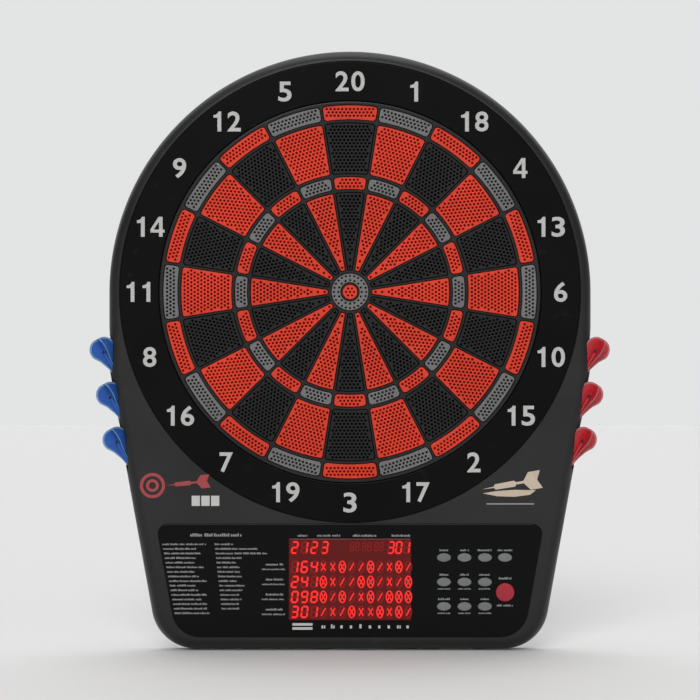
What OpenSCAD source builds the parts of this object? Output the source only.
// Electronic soft-tip dartboard, hung on a wall.
// Frame: X to the right, Z up, and the face looks along -Y. The origin is where the bull's
// axis meets the wall. A depth, written d below, is the distance from the wall: y = -d.

/* [Housing] */
// Radius of the housing's round top
housing_r = 250; // [246:1:262]
// Drop from the bull to the foot of the housing
foot_drop = 370; // [362:1:385]
// Depth from the wall to the housing's face
depth = 38; // [38:1:44]
// Lean of the lower sides from the vertical, in degrees
side_lean = 10.2; // [9:0.1:11]
// Radius of the two bottom corners
corner_r = 46; // [35:1:55]
// Wall thickness of the two shells
wall = 3; // [2.5:0.1:3.2]

/* [Target] */
// Radius of the whole target, outside the web
target_r = 197; // [195:0.5:198]
// Outer radius of the number ring
ring_r = 238; // [236:0.5:238.5]
// Radii of the web's ring walls, from the inner bull outwards
web_radii = [8.7, 21, 104.4, 120.6, 176.3]; // five radii
// Radius of the inner bull
bull_r = 7.6; // [7:0.1:7.7]
// Thickness of a web wall at its front
web_wall = 2.4; // [2:0.1:2.6]
// How far a segment travels when a dart hits it
segment_travel = 1.5; // [1:0.1:1.5]

/* [Controls] */
// Top edge of the control panel, below the bull
panel_top = 240; // [240:0.5:243]
// Bottom edge of the control panel, below the bull
panel_bottom = 356.5; // [354:0.5:358]
// Half the control panel's width at its top edge
panel_half = 201; // [198:0.5:202]
// Width and height of the score display
display_size = [126, 84]; // width and height
// Height of the display's centre below the bull
display_drop = 297; // [296:0.5:298]
// How far a key travels
key_travel = 1.2; // [0.8:0.1:1.3]

/* [Darts] */
// Lean of a stored dart from the vertical, in degrees
dart_lean = 30; // [28:0.5:32]
// Depth of the stored darts' axes
dart_d = 25; // [24.5:0.1:25.5]
// Place of the first dart's flight tip
dart_first = [241, -86]; // distance to the side, and height
// Step from one dart to the next
dart_step = [-6.7, -46.6]; // inwards, and downwards
// Radius of a dart's barrel
barrel_r = 3.6; // [3:0.1:3.7]
// Half the width across a dart's flight
flight_half = 14.2; // [12:0.1:14.4]
// Turn of a flight's fins about the dart's axis, in degrees
flight_turn = 20; // [0:1:25]

/* [Mounting] */
// Distance between the two keyholes, one wall-stud spacing
stud_spacing = 406.4; // [400:0.1:410]
// Height of the keyholes above the bull
keyhole_rise = 60; // [50:1:70]
// Radius of the keyhole's head opening
keyhole_r = 5; // [4.5:0.1:5.5]
// Radius of the hole for the power plug
plug_r = 6; // [5.5:0.1:6.5]

/* [Hidden] */
$fn = 64;
eps = 0.01;
split_d = 11;                  // the back cover meets the front housing here
edge_run = 12;                 // width of the face's rounded edge
edge_rise = 20;                // depth of the face's rounded edge
edge_start = depth - edge_rise;
face_t = 4;                    // thickness of the housing's face
face_under = depth - face_t;   // depth of the face's underside
side_corner = 84.6;            // drop at which the sides start to lean
ring_ledge_r = 226;            // inner radius of the ledge under the number ring
ring_rebate = 2.2;             // depth of the rebate that the number ring sits in
flange_r = 233.5;              // outer radius of the web frame's flange
web_front = depth - 0.5;
segment_front = depth - 2;
web_back = depth - 15.7;
web_shoulder = depth - 9.2;    // the web walls are thinner behind this depth
thin_wall = 0.8;               // web wall thickness behind the shoulder
ring_wall = 3;                 // thickness of a ring wall at its front
bull_ring_wall = 1.4;          // and of the small one round the inner bull
web_rim = 3.7;                 // thickness of the web's outermost rim
gap = 0.4;                     // clearance round a segment, and round the number ring
fit = 0.3;                     // clearance round a part that is set into another
segment_back = depth - 12.1;
segment_lip = 2.5;             // thickness of the lip that holds a segment in
sheet_front = depth - 15.7;    // front of the rubber sheet
sheet_t = 1.5;
sheet_r = 203;
film_t = 0.3;
film_r = 204;
plate_front = depth - 18.1;    // front of the backing plate
plate_t = 3;
plate_r = 205;
plate_back = plate_front - plate_t;
clamp_t = 2.5;
clamp_radii = [188, 219];
clamp_screw_r = 213;
clamp_screw_angles = [15:30:345];
case_boss_r = 240.5;           // distance of the upper case screws from the bull
case_head_d = 6;               // depth at which the case screws' heads seat
cover_floor = 2.5;
cover_inset = 2;               // the cover's sides stand in from the housing's
tail_x = [-126, -110];         // left edges of the sensor films' two tails
tail_w = 14;
tail_end = -277;
led_rows = [-264, -284, -299.5, -315, -330.5];
board_d = depth - 16;          // back of the circuit boards
board_t = 1.6;
board_front = board_d + board_t;
switch_body_t = 1.6;           // a key's switch without its button
switch_t = 2.4;                // and with it
panel_recess = 1.8;            // depth of the recess for the overlay
overlay_t = 1.5;
key_columns = [97, 118.2, 139.3, 160];
key_rows = [-274.3, -299.6, -324.8];
key_half = [7.2, 4.4];         // half axes of a key's oval
start_place = [160.2, -310.2];
start_r = 9.5;
key_proud = 1.5;               // how far a key stands out of the overlay
key_gap = 0.35;
speaker_place = [150, -232];
speaker_r = 24;
jack_x = 125;
jack_d = 19.5;
jack_size = [14, 11, 13];
holder_wall = 1.8;
tube_r = barrel_r + 0.6;
flight_length = 43;
shaft_r = 2.1;                 // a dart's shaft, inside its flight
shaft_top = 30;
flight_floor = 12.6;           // depth of the flat floor under the stored flights
side_strip_d = 18;             // a holder takes the side wall's place up to this depth
screw_r = 1.45;
pilot_r = screw_r + 0.05;      // a hole that a screw bites into
clear_r = screw_r + 0.25;      // a hole that a screw passes through
screw_head_r = 2.8;
screw_head_t = 1.8;
screw_length = 10;             // depth of a pilot hole; a screw ends 1 mm short of it

numbers = [20, 1, 18, 4, 13, 6, 10, 15, 2, 17, 3, 19, 7, 16, 8, 11, 14, 9, 12, 5];
dart_names = ["top", "middle", "bottom"];
keys = [for (row = [0:2], column = [0:(row == 0 ? 3 : 2)]) [row, column]];
row_names = ["top", "middle", "bottom"];
case_screw_angles = [10, 50, 90, 130, 170];
side_screw = [208.6, -262];
foot_screw = [90, -foot_drop + 9.5];
case_screw_places = concat(
    [for (a = case_screw_angles) on_circle(case_boss_r, a)],
    [for (s = [-1, 1], p = [side_screw, foot_screw]) [s * p[0], p[1]]]);
holder_screw_along = -60;      // place of a holder's screws along the darts
between_darts = [0.5, 1.5];
holder_screw_places = [for (s = [-1, 1], i = between_darts)
    let(p = dart_point(i, holder_screw_along)) [s * p[0], p[1]]];
// Each board: its lower left and upper right corners
main_board_box = [[-172, -345], [-86, -276]];
display_board_box = [[-76, -347], [76, -249]];
keypad_board_box = [[84, -340], [168, -258]];
board_boxes = [main_board_box, display_board_box, keypad_board_box];

function sector_name(i) = str("sector_", numbers[i]);
function key_name(k) = str("key_", row_names[k[0]], "_", k[1] + 1);
function dart_name(side, i) = str("dart_", side, "_", dart_names[i]);
function on_circle(r, angle) = r * [cos(angle), sin(angle)];
function side_half(drop) = housing_r - (drop - side_corner) * tan(side_lean);
function arc(centre, r, from, to, steps) =
    [for (i = [0:steps]) centre + on_circle(r, from + (to - from) * i / steps)];
function mirrored(points) =
    [for (i = [len(points) - 1:-1:0]) [-points[i][0], points[i][1]]];
// A point on the axis of a stored dart of the left row, so far out from its flight's tip
function dart_point(i, along) =
    [-(dart_first[0] + i * dart_step[0]), dart_first[1] + i * dart_step[1]]
    + along * [-sin(dart_lean), cos(dart_lean)];
function board_screws(b) =
    [for (x = [b[0][0] + 5, b[1][0] - 5], z = [b[0][1] + 5, b[1][1] - 5]) [x, z]];
function key_place(k) = [key_columns[k[1]], key_rows[k[0]]];

// ---- Helpers ----

// Extrudes a flat outline, drawn as seen from the front, between two depths.
module slab(d0, d1) {
    translate([0, -d0, 0]) rotate([90, 0, 0]) linear_extrude(d1 - d0) children();
}

// Turns a profile of [radius, depth] about the bull's axis.
module turned() {
    rotate([90, 0, 0]) rotate_extrude() children();
}

// A straight pin or hole along the depth, at [x, z].
module pin(place, r, d0, d1) {
    slab(d0, d1) translate(place) circle(r);
}

module ring2d(r_in, r_out) {
    difference() {
        circle(r_out);
        circle(r_in);
    }
}

module box2d(b) {
    translate(b[0]) square(b[1] - b[0]);
}

module oval2d(half) {
    polygon([for (a = [0:10:350]) [half[0] * cos(a), half[1] * sin(a)]]);
}

// The housing's outline, moved inwards by inset: a round top, leaning sides and a flat foot.
module outline(inset = 0) {
    r = corner_r - inset;
    low_z = -foot_drop + corner_r;
    low = [side_half(-low_z) - corner_r / cos(side_lean), low_z];
    high = [housing_r - corner_r, -side_corner + corner_r * tan(side_lean / 2)];
    right = concat(arc(low, r, -90, -side_lean, 8), arc(high, r, -side_lean, 0, 2));
    polygon(concat(right, arc([0, 0], housing_r - inset, 0, 180, 72), mirrored(right)));
}

// A body that fills the outline and rounds inwards over the last part of its depth.
module rounded_body(inset, run, rise) {
    hull() {
        slab(split_d, split_d + eps) outline(inset);
        for (a = [0:15:90])
            slab(edge_start + rise * sin(a) - eps, edge_start + rise * sin(a))
                outline(inset + run * (1 - cos(a)));
    }
}

// The control panel's outline, moved inwards by inset.
module panel2d(inset = 0) {
    small_r = 10;
    large_r = 30;
    low_z = -panel_bottom + large_r;
    high_z = -panel_top - small_r;
    low_x = panel_half - (-panel_top - low_z) * tan(side_lean) - large_r / cos(side_lean);
    high_x = panel_half - (-panel_top - high_z) * tan(side_lean) - small_r / cos(side_lean);
    right = concat(
        arc([low_x, low_z], large_r - inset, -90, -side_lean, 8),
        arc([high_x, high_z], small_r - inset, -side_lean, 90, 6));
    polygon(concat(right, mirrored(right)));
}

module display2d(grow = 0) {
    size = display_size + 2 * [grow, grow];
    translate([-size[0] / 2, -display_drop - size[1] / 2]) square(size);
}

module keys2d(grow = 0) {
    for (k = keys) translate(key_place(k)) oval2d(key_half + [grow, grow]);
    translate(start_place) circle(start_r + grow);
}

// ---- Shells ----

module face_cutouts() {
    pin([0, 0], ring_ledge_r, split_d, depth + 1);
    pin([0, 0], ring_r + gap, depth - ring_rebate, depth + 1);
    slab(depth - panel_recess, depth + 1) panel2d(-fit);
    slab(split_d, depth) display2d(fit);
    slab(split_d, depth) keys2d(key_gap);
}

module pilot_post(place, r, d0) {
    difference() {
        pin(place, r, d0, face_under + eps);
        pin(place, pilot_r, d0 - 1, d0 + screw_length);
    }
}

module front_housing() {
    case_post_r = 3.8;
    board_post_r = 3;
    color([0.17, 0.16, 0.17]) difference() {
        union() {
            difference() {
                rounded_body(0, edge_run, edge_rise);
                rounded_body(wall, edge_run - wall, edge_rise - face_t);
                slab(split_d - 1, edge_start) outline(wall);
            }
            for (p = case_screw_places) pilot_post(p, case_post_r, split_d);
            for (b = board_boxes, p = board_screws(b)) pilot_post(p, board_post_r, board_front);
        }
        face_cutouts();
        for (s = [0, 1]) mirror([s, 0, 0]) {
            dart_row() flight_space(holder_wall + fit);
            slab(split_d - 1, side_strip_d + fit) side_strip2d(fit);
        }
        translate([jack_x, -jack_d, -foot_drop - 1]) cylinder(r = plug_r, h = wall + 2);
    }
}

module keyhole2d() {
    slot_r = 2.4;
    slot_length = 12;
    circle(keyhole_r);
    translate([-slot_r, 0]) square([2 * slot_r, slot_length]);
    translate([0, slot_length]) circle(slot_r);
}

module speaker_slots2d() {
    pitch = 5;
    longest = 36;
    slot_w = 2;
    for (i = [-4:4]) translate(speaker_place + [0, i * pitch])
        square([longest - abs(i) * 3.5, slot_w], center = true);
}

module back_cover() {
    screws = concat(case_screw_places, holder_screw_places);
    boss_r = 5.4;
    counterbore_r = 3.3;
    press_rib = [190, 193];
    floor_ribs = [90, 140];
    floor_rib_d = 6;
    cradle = [18, 8];
    color([0.08, 0.08, 0.085]) difference() {
        union() {
            difference() {
                hull() {
                    slab(0, eps) outline(cover_inset + 2.5);
                    slab(2.5, split_d) outline(cover_inset);
                }
                slab(cover_floor, split_d + 1) outline(cover_inset + 2.5);
            }
            for (p = screws) pin(p, boss_r, eps, split_d);
            // The tall rib presses the target's layers together; the others stiffen the floor
            slab(eps, plate_back - clamp_t) ring2d(press_rib[0], press_rib[1]);
            for (r = floor_ribs) slab(eps, floor_rib_d) ring2d(r - 1, r + 1);
            slab(eps, 2 * cover_floor) translate(speaker_place)
                ring2d(speaker_r + fit, speaker_r + 2);
            // The cradle under the power jack
            slab(eps, jack_d - jack_size[1] / 2)
                translate([jack_x - cradle[0] / 2, -foot_drop + 8]) square(cradle);
        }
        for (p = screws) {
            pin(p, counterbore_r, -1, case_head_d);
            pin(p, clear_r, -1, split_d + 1);
        }
        for (s = [-1, 1])
            slab(-1, cover_floor + 1) translate([s * stud_spacing / 2, keyhole_rise]) keyhole2d();
        slab(-1, cover_floor + 1) speaker_slots2d();
    }
}

module number_ring() {
    inner = target_r + 0.6;
    top = depth + 0.4;
    color([0.03, 0.03, 0.032]) turned() polygon([
        [inner, face_under], [ring_ledge_r - 0.4, face_under],
        [ring_ledge_r - 0.4, depth - ring_rebate], [ring_r, depth - ring_rebate],
        [ring_r, top - 0.5], [ring_r - 0.5, top], [inner + 0.6, top], [inner, top - 0.6]]);
}

// ---- Target ----

// The web's walls: a thin ring round the inner bull, wider rings, and twenty radial bars.
module web2d(bar, ring, bull_ring) {
    ring2d(web_radii[0] - bull_ring / 2, web_radii[0] + bull_ring / 2);
    for (i = [1:4]) ring2d(web_radii[i] - ring / 2, web_radii[i] + ring / 2);
    for (i = [0:19]) rotate(9 + 18 * i) translate([web_radii[1] + 0.2, -bar / 2])
        square([target_r - web_radii[1] - 1.2, bar]);
}

module web_frame() {
    skirt_r = 206.5;
    skirt_t = 2.5;
    rib_w = 1.6;
    post_r = 4.6;
    notch_w = tail_x[1] + tail_w - tail_x[0] + 2;
    color([0.12, 0.12, 0.125]) difference() {
        union() {
            slab(web_shoulder, web_front) web2d(web_wall, ring_wall, bull_ring_wall);
            slab(web_shoulder, web_front) ring2d(target_r - web_rim, target_r);
            slab(web_back, web_shoulder) web2d(thin_wall, thin_wall, thin_wall);
            slab(web_back, web_shoulder) ring2d(target_r - 2.2, target_r);
            for (a = [0:90:270]) slab(web_back, web_back + 1.7) rotate(a)
                translate([web_radii[0], -rib_w / 2]) square([web_radii[1] - web_radii[0], rib_w]);
            slab(face_under - skirt_t, face_under) ring2d(target_r - 0.5, flange_r);
            slab(plate_back, face_under - skirt_t + eps) ring2d(skirt_r, skirt_r + skirt_t);
            for (a = clamp_screw_angles)
                pin(on_circle(clamp_screw_r, a), post_r, plate_back, face_under - skirt_t + eps);
        }
        for (a = clamp_screw_angles)
            pin(on_circle(clamp_screw_r, a), pilot_r, plate_back - 1, plate_back + screw_length);
        // The tails of the sensor films leave through this notch
        slab(plate_back - 1, sheet_front) translate([tail_x[0] - 1, -200]) square([notch_w, 40]);
    }
}

// One window of the web between two radii, shrunk by clear on its four sides.
module window2d(r_in, r_out, clear) {
    intersection() {
        ring2d(r_in + clear[1], r_out - clear[1]);
        rotate(90) polygon([
            [clear[0] / sin(9), 0],
            [clear[0] / sin(9) + r_out * cos(9), r_out * sin(9)],
            [clear[0] / sin(9) + r_out * 1.1, 0],
            [clear[0] / sin(9) + r_out * cos(9), -r_out * sin(9)]]);
    }
}

// The pad behind a segment, which presses the rubber sheet.
module pad(place) {
    pad_r = 2;
    pad_t = segment_back - sheet_front - segment_travel - 0.3;
    pin(place, pad_r, segment_back - pad_t, segment_back + eps);
}

// One scoring segment: its body, its lip and its pad.
module segment(r_in, r_out) {
    body_clear = [web_wall / 2 + gap, gap];
    lip_clear = [thin_wall / 2 + gap, gap - (ring_wall - thin_wall) / 2];
    slab(segment_back, segment_front) window2d(r_in, r_out, body_clear);
    slab(segment_back, segment_back + segment_lip) window2d(r_in, r_out, lip_clear);
    pad([0, (r_in + r_out) / 2]);
}

// The four scoring segments of one number.
module sector(i) {
    half = ring_wall / 2;
    bands = [
        [web_radii[1] + half, web_radii[2] - half],
        [web_radii[2] + half, web_radii[3] - half],
        [web_radii[3] + half, web_radii[4] - half],
        [web_radii[4] + half, target_r - web_rim]];
    tint = i % 2 == 0 ? [0.06, 0.06, 0.065] : [0.72, 0.09, 0.05];
    color(tint) rotate([0, i * 18, 0]) for (b = bands) segment(b[0], b[1]);
}

module outer_bull() {
    inner = web_radii[0] + bull_ring_wall / 2 + gap;
    outer = web_radii[1] - ring_wall / 2 - gap;
    lip_in = web_radii[0] + thin_wall / 2 + gap;
    lip_out = web_radii[1] - thin_wall / 2 - gap;
    color([0.33, 0.34, 0.34]) {
        slab(segment_back, segment_front) ring2d(inner, outer);
        slab(segment_back, segment_back + segment_lip) ring2d(lip_in, lip_out);
        for (a = [45:90:315]) pad(on_circle((inner + outer) / 2, a));
    }
}

module inner_bull() {
    color([0.6, 0.08, 0.06]) {
        pin([0, 0], bull_r, segment_back, segment_front);
        pin([0, 0], bull_r + 0.3, segment_back, segment_back + segment_lip);
        pad([0, 0]);
    }
}

// ---- Sensor stack behind the target ----

module rubber_sheet() {
    color([0.1, 0.1, 0.1]) pin([0, 0], sheet_r, sheet_front - sheet_t, sheet_front);
}

module sensor_films() {
    for (layer = [0, 1]) {
        back = sheet_front - sheet_t - (layer * 2 + 1) * film_t;
        color([0.75, 0.72, 0.6, 0.8]) slab(back, back + film_t) {
            circle(film_r);
            translate([tail_x[layer], tail_end]) square([tail_w, -tail_end - film_r / 2]);
        }
    }
}

module backing_plate() {
    color([0.36, 0.24, 0.14]) pin([0, 0], plate_r, plate_back, plate_front);
}

module clamp_ring() {
    color([0.1, 0.1, 0.105]) difference() {
        slab(plate_back - clamp_t, plate_back) ring2d(clamp_radii[0], clamp_radii[1]);
        for (a = clamp_screw_angles)
            pin(on_circle(clamp_screw_r, a), clear_r, plate_back - clamp_t - 1, plate_back + 1);
    }
}

// ---- Control panel ----

module panel_overlay() {
    back = depth - panel_recess;
    color([0.02, 0.02, 0.022]) slab(back, back + overlay_t) difference() {
        panel2d();
        display2d(fit);
        keys2d(key_gap);
    }
}

// The tinted window stands in the face's opening, and its lip rests under the face.
module display_window() {
    lip = 2;
    lip_t = 1.5;
    color([0.35, 0.02, 0.02, 0.6]) {
        slab(face_under - lip_t, depth - panel_recess + overlay_t) display2d();
        slab(face_under - lip_t, face_under) display2d(lip);
    }
}

module board(b) {
    color([0.05, 0.25, 0.12]) slab(board_d, board_front) difference() {
        box2d(b);
        for (p = board_screws(b)) translate(p) circle(screw_r + 0.15);
    }
}

module display_board() {
    board(display_board_box);
}

// The display's lamp blocks: a header row, and four rows of score and marks.
module led_modules() {
    header = [[-61, -31.5], [-30.5, -10], [-9, 35], [36, 61]];
    columns = [[-61, -31.5], [-30.5, 61]];
    block_h = 14;
    color([0.2, 0.02, 0.02]) slab(board_front, face_under - 2.5)
        for (row = [0:4], c = row == 0 ? header : columns)
            translate([c[0], led_rows[row] - block_h / 2]) square([c[1] - c[0], block_h]);
}

module keypad_board() {
    board(keypad_board_box);
}

module tact_switches() {
    places = concat([for (k = keys) key_place(k)], [start_place]);
    body_w = 6;
    button_r = 1.7;
    color([0.55, 0.55, 0.57]) for (p = places) {
        slab(board_front, board_front + switch_body_t) translate(p) square(body_w, center = true);
        pin(p, button_r, board_front + switch_body_t - eps, board_front + switch_t);
    }
}

module main_board() {
    b = main_board_box;
    middle = (b[0] + b[1]) / 2;
    top = board_front - eps;
    // Chips and a connector: their places from the board's middle, their sizes and heights
    blocks = [
        [[0, 0], [14, 14], 2.2], [[22, 12], [10, 6], 1.6], [[22, -12], [10, 6], 1.6],
        [[-24, 14], [12, 5], 4]];
    capacitor_r = 3;
    capacitor_h = 7;
    socket = [tail_w, 6];
    socket_t = 2.4;
    color([0.05, 0.22, 0.1]) {
        board(b);
        for (c = blocks) slab(top, top + c[2]) translate(middle + c[0]) square(c[1], center = true);
        for (x = [-24, -16]) pin(middle + [x, -14], capacitor_r, top, top + capacitor_h);
        for (x = tail_x) slab(board_d - socket_t, board_d + eps)
            translate([x, tail_end - socket[1]]) square(socket);
    }
}

// Flat cables behind the three boards, from one to the next.
module ribbon_cables() {
    cable = [26, 12];
    cable_t = 0.8;
    for (x = [-94, 66]) color([0.6, 0.6, 0.62])
        slab(board_d - cable_t, board_d) translate([x, -310]) square(cable);
}

// A key: its cap, its lip under the face, and its stem over the switch.
module key(place, half) {
    lip = 1.3;
    lip_t = 1.8;
    stem_r = 2.5;
    lip_front = face_under - 0.1;
    slab(lip_front - eps, depth - panel_recess + overlay_t + key_proud)
        translate(place) oval2d(half);
    slab(lip_front - lip_t, lip_front) translate(place) oval2d(half + [lip, lip]);
    pin(place, stem_r, board_front + switch_t + key_travel + gap, lip_front - lip_t + eps);
}

module oval_key(k) {
    color([0.45, 0.47, 0.46]) key(key_place(k), key_half);
}

module start_button() {
    color([0.75, 0.04, 0.05]) key(start_place, [start_r, start_r]);
}

// ---- Sound and power ----

module speaker() {
    color([0.15, 0.15, 0.16]) translate([speaker_place[0], 0, speaker_place[1]]) turned()
        polygon([
            [0, cover_floor + 4], [8, cover_floor + 4], [speaker_r - 4, cover_floor],
            [speaker_r, cover_floor], [speaker_r, cover_floor + 1.2],
            [speaker_r - 3, cover_floor + 1.4], [13, 11], [12, 11], [12, 17], [0, 17]]);
}

module dc_jack() {
    inside = -foot_drop + wall + 2;
    color([0.06, 0.06, 0.06]) {
        difference() {
            translate([jack_x - jack_size[0] / 2, -jack_d - jack_size[1] / 2, inside])
                cube(jack_size);
            translate([jack_x, -jack_d, inside - 1]) cylinder(r = 3.2, h = jack_size[2] - 1);
        }
        translate([jack_x, -jack_d, inside + 1]) cylinder(r = 1.05, h = jack_size[2] - 2.5);
    }
}

// ---- Darts and their holders ----

// Places children on the axis of one stored dart of the left row, with their Z axis along
// the dart, outwards, from the flight's tip.
module on_dart(i) {
    place = dart_point(i, 0);
    translate([place[0], -dart_d, place[1]]) rotate([0, -dart_lean, 0]) children();
}

module dart_row() {
    for (i = [0:2]) on_dart(i) children();
}

// The space round one stored dart: a tube for its barrel, and a cone for its flight.
module flight_space(grow = 0) {
    bottom = -102 - grow;
    top = flight_length + 11;
    narrow = tube_r + grow;
    room = 1.2 + grow;
    rotate_extrude() polygon([
        [0, bottom], [narrow, bottom], [narrow, -8], [tube_r + room, 0],
        [flight_half * 0.62 + room, 20], [flight_half + room, 30], [flight_half + room, top],
        [0, top]]);
}

// The stretch of the left side wall that the holder replaces.
module side_strip2d(grow = 0) {
    top = -46 + grow;
    bottom = -196 - grow;
    polygon([
        [-262, bottom], [-262, top], [-240 + grow, top], [-232 + grow, -104],
        [-224 + grow, bottom]]);
}

module dart_holder() {
    boss_r = 4.5;
    web_half_t = 1;                // half the thickness of the plate that joins the tubes
    color([0.13, 0.13, 0.135]) difference() {
        intersection() {
            union() {
                dart_row() flight_space(holder_wall);
                slab(dart_d - web_half_t, dart_d + web_half_t) polygon([
                    dart_point(0, -32), dart_point(0, -88),
                    dart_point(2, -88), dart_point(2, -32)]);
                for (i = between_darts)
                    pin(dart_point(i, holder_screw_along), boss_r, split_d, dart_d);
                slab(split_d, side_strip_d) side_strip2d();
            }
            rounded_body(0.5, edge_run, edge_rise);
        }
        intersection() {
            dart_row() flight_space();
            slab(flight_floor, depth + 10) translate([-330, -330]) square([200, 330]);
        }
        for (i = between_darts)
            pin(dart_point(i, holder_screw_along), pilot_r, split_d - 1, split_d + screw_length);
    }
}

// One of a flight's four fins, as [radius, height] from the flight's tip.
module fin2d() {
    end_r = 12;
    polygon(concat(
        [[0, 0], [2.6, 0], [flight_half * 0.35, 10], [flight_half * 0.62, 20]],
        arc([flight_half - end_r, flight_length - end_r], end_r, -20, 80, 5),
        [[0, flight_length]]));
}

module flight() {
    fin_t = 0.6;
    hub_r = 2.9;
    difference() {
        union() {
            for (a = [0, 90]) rotate([0, 0, a + flight_turn]) for (s = [0, 1]) mirror([s, 0, 0])
                rotate([90, 0, 0]) linear_extrude(fin_t, center = true) fin2d();
            cylinder(r = hub_r, h = 26);
        }
        translate([0, 0, -1]) cylinder(r = shaft_r + 0.05, h = shaft_top + 2);
    }
}

module barrel() {
    groove = 0.4;
    grooves = [for (z = [-64:3:-34]) each [[barrel_r, z], [barrel_r - groove, z + groove],
        [barrel_r - groove, z + 3 * groove], [barrel_r, z + 4 * groove]]];
    rotate_extrude() polygon(concat(
        [[0, -70], [2.2, -70], [barrel_r, -67]], grooves,
        [[barrel_r, -25], [2.6, -22], [0, -22]]));
}

// A soft-tip dart in four pieces, a hair apart: point, barrel, shaft and flight.
module dart(tint) {
    color([0.05, 0.05, 0.05]) rotate_extrude()
        polygon([[0, -96], [0.7, -96], [1.1, -74], [2, -73], [2, -70.05], [0, -70.05]]);
    color([0.6, 0.5, 0.3]) barrel();
    color([0.2, 0.2, 0.21]) rotate_extrude()
        polygon([[0, -21.95], [2.4, -21.95], [shaft_r, -14], [shaft_r, shaft_top],
            [0, shaft_top]]);
    color(tint) flight();
}

module left_dart(i) {
    on_dart(i) dart([0.02, 0.25, 0.75]);
}

module right_dart(i) {
    mirror([1, 0, 0]) on_dart(i) dart([0.75, 0.03, 0.05]);
}

// ---- Screws: for the case, the dart holders, the clamp ring and the boards ----

module screw(place, under_head) {
    head_back = under_head - screw_head_t;
    pin(place, screw_r, under_head - eps, under_head + screw_length - 1);
    difference() {
        pin(place, screw_head_r, head_back, under_head);
        for (a = [0, 90]) slab(head_back - 1, head_back + 0.9)
            translate(place) rotate(a) square([3.2, 0.8], center = true);
    }
}

module screws() {
    color([0.45, 0.45, 0.47]) {
        for (p = concat(case_screw_places, holder_screw_places)) screw(p, case_head_d);
        for (a = clamp_screw_angles) screw(on_circle(clamp_screw_r, a), plate_back - clamp_t);
        for (b = board_boxes, p = board_screws(b)) screw(p, board_d);
    }
}

// ---- What each node draws ----

front_housing();
back_cover();
number_ring();
web_frame();
rubber_sheet();
sensor_films();
backing_plate();
clamp_ring();
panel_overlay();
display_window();
display_board();
led_modules();
keypad_board();
tact_switches();
main_board();
ribbon_cables();
speaker();
dc_jack();
dart_holder();  // left_dart_holder
mirror([1, 0, 0]) dart_holder();  // right_dart_holder
screws();
outer_bull();
inner_bull();
start_button();
for (i = [0:19]) sector(i);
for (k = keys) oval_key(k);
for (i = [0:2]) left_dart(i);
for (i = [0:2]) right_dart(i);
